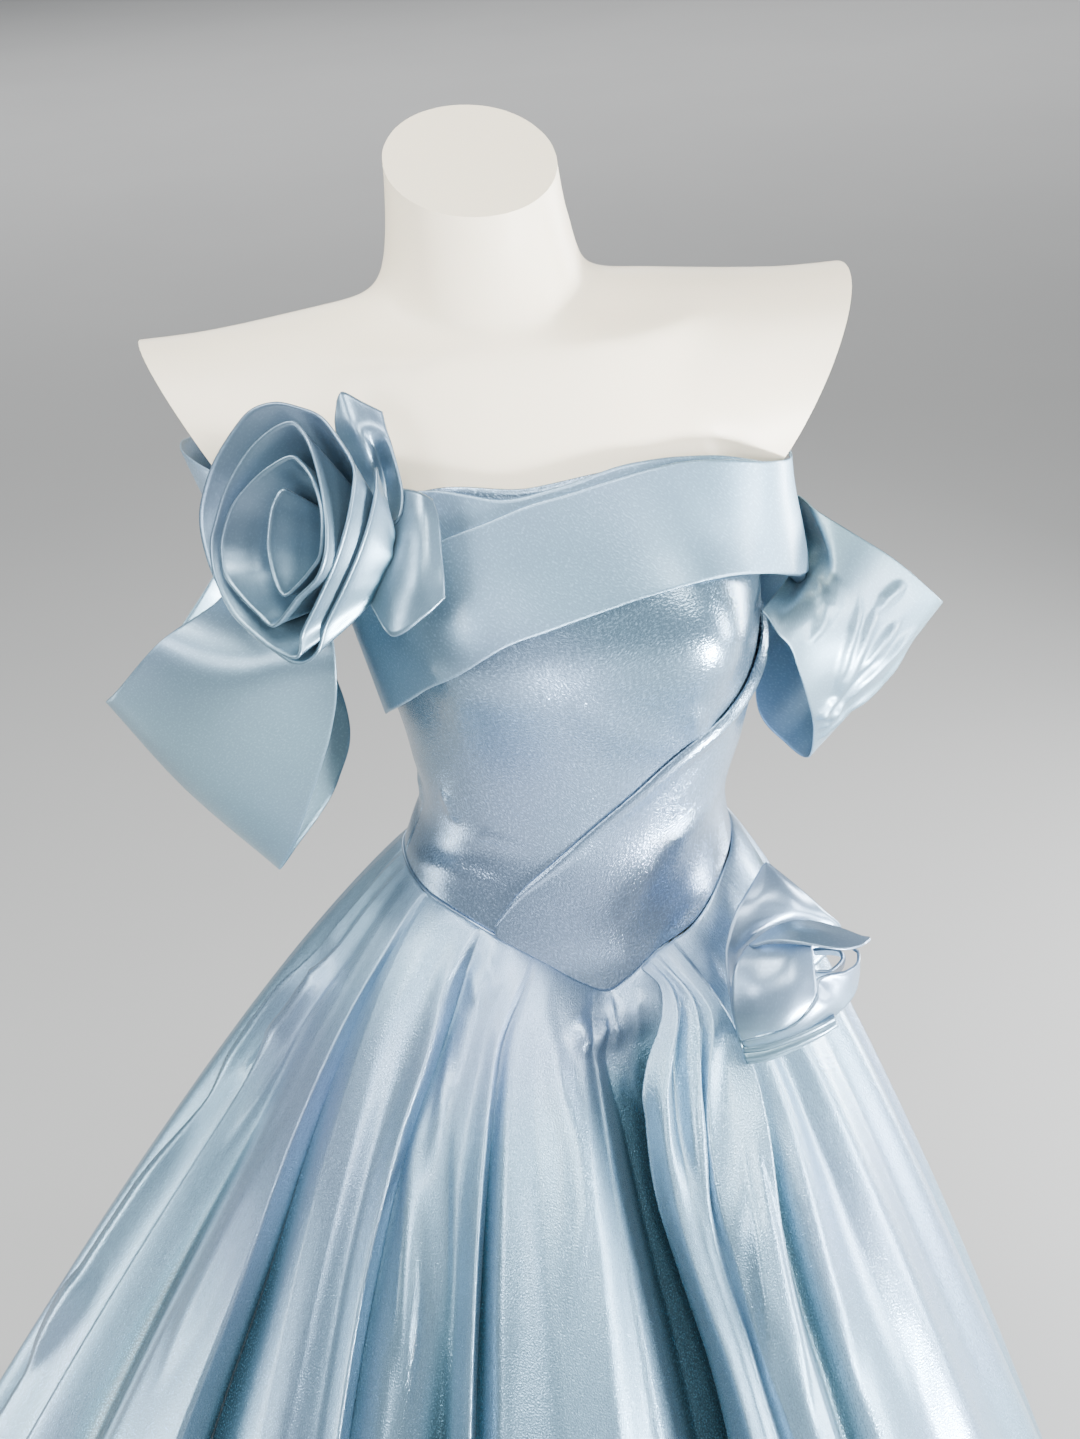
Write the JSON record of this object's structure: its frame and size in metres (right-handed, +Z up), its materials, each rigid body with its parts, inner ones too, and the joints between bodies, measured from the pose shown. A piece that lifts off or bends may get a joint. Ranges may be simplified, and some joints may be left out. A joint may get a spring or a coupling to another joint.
{
  "type": "ball gown on dress form",
  "caption": "Off-shoulder ball gown with a pointed fitted bodice, crossed bands, draped loop sleeves, folded fabric roses and a full pleated skirt, on a limbless dress form with a round base.",
  "frame": {"origin": "centre of the underside of the stand's round base plate, on the floor", "axes": "+Z up along the pole; the gown's front faces -Y; +X is the wearer's left"},
  "size_m": [1.2783, 1.4647, 1.5023],
  "materials": {
    "form_shell": "smooth ivory shell with a soft satin coat",
    "stand_metal": "satin brushed",
    "bodice_satin": "shiny pale blue satin organza with a lavender cast and a fine sparkle",
    "band_satin": "shiny pale blue satin organza, pressed flat",
    "sleeve_satin": "shiny pale blue satin organza",
    "skirt_satin": "shiny pale icy blue satin organza with aqua shade in the folds",
    "flower_satin": "shiny pale blue satin organza, double and folded"
  },
  "bodies": {
    "root": {"form_torso": "form_shell", "form_pole": "stand_metal", "form_base": "stand_metal", "bodice_front": "bodice_satin", "bodice_overlay": "bodice_satin", "bodice_back_left": "bodice_satin", "bodice_back_right": "bodice_satin", "band_under": "band_satin", "band_over": "band_satin", "band_back": "band_satin", "sleeve_right": "sleeve_satin", "sleeve_left": "sleeve_satin", "skirt_front": "skirt_satin", "skirt_over": "skirt_satin", "skirt_back_left": "skirt_satin", "skirt_back_right": "skirt_satin", "rose_shoulder": "flower_satin", "petal_shoulder_upright": "flower_satin", "petal_shoulder_square": "flower_satin", "rose_hip": "flower_satin", "petal_hip_hood": "flower_satin", "petal_hip_point": "flower_satin", "petal_hip_square": "flower_satin"}
  },
  "joints": []
}
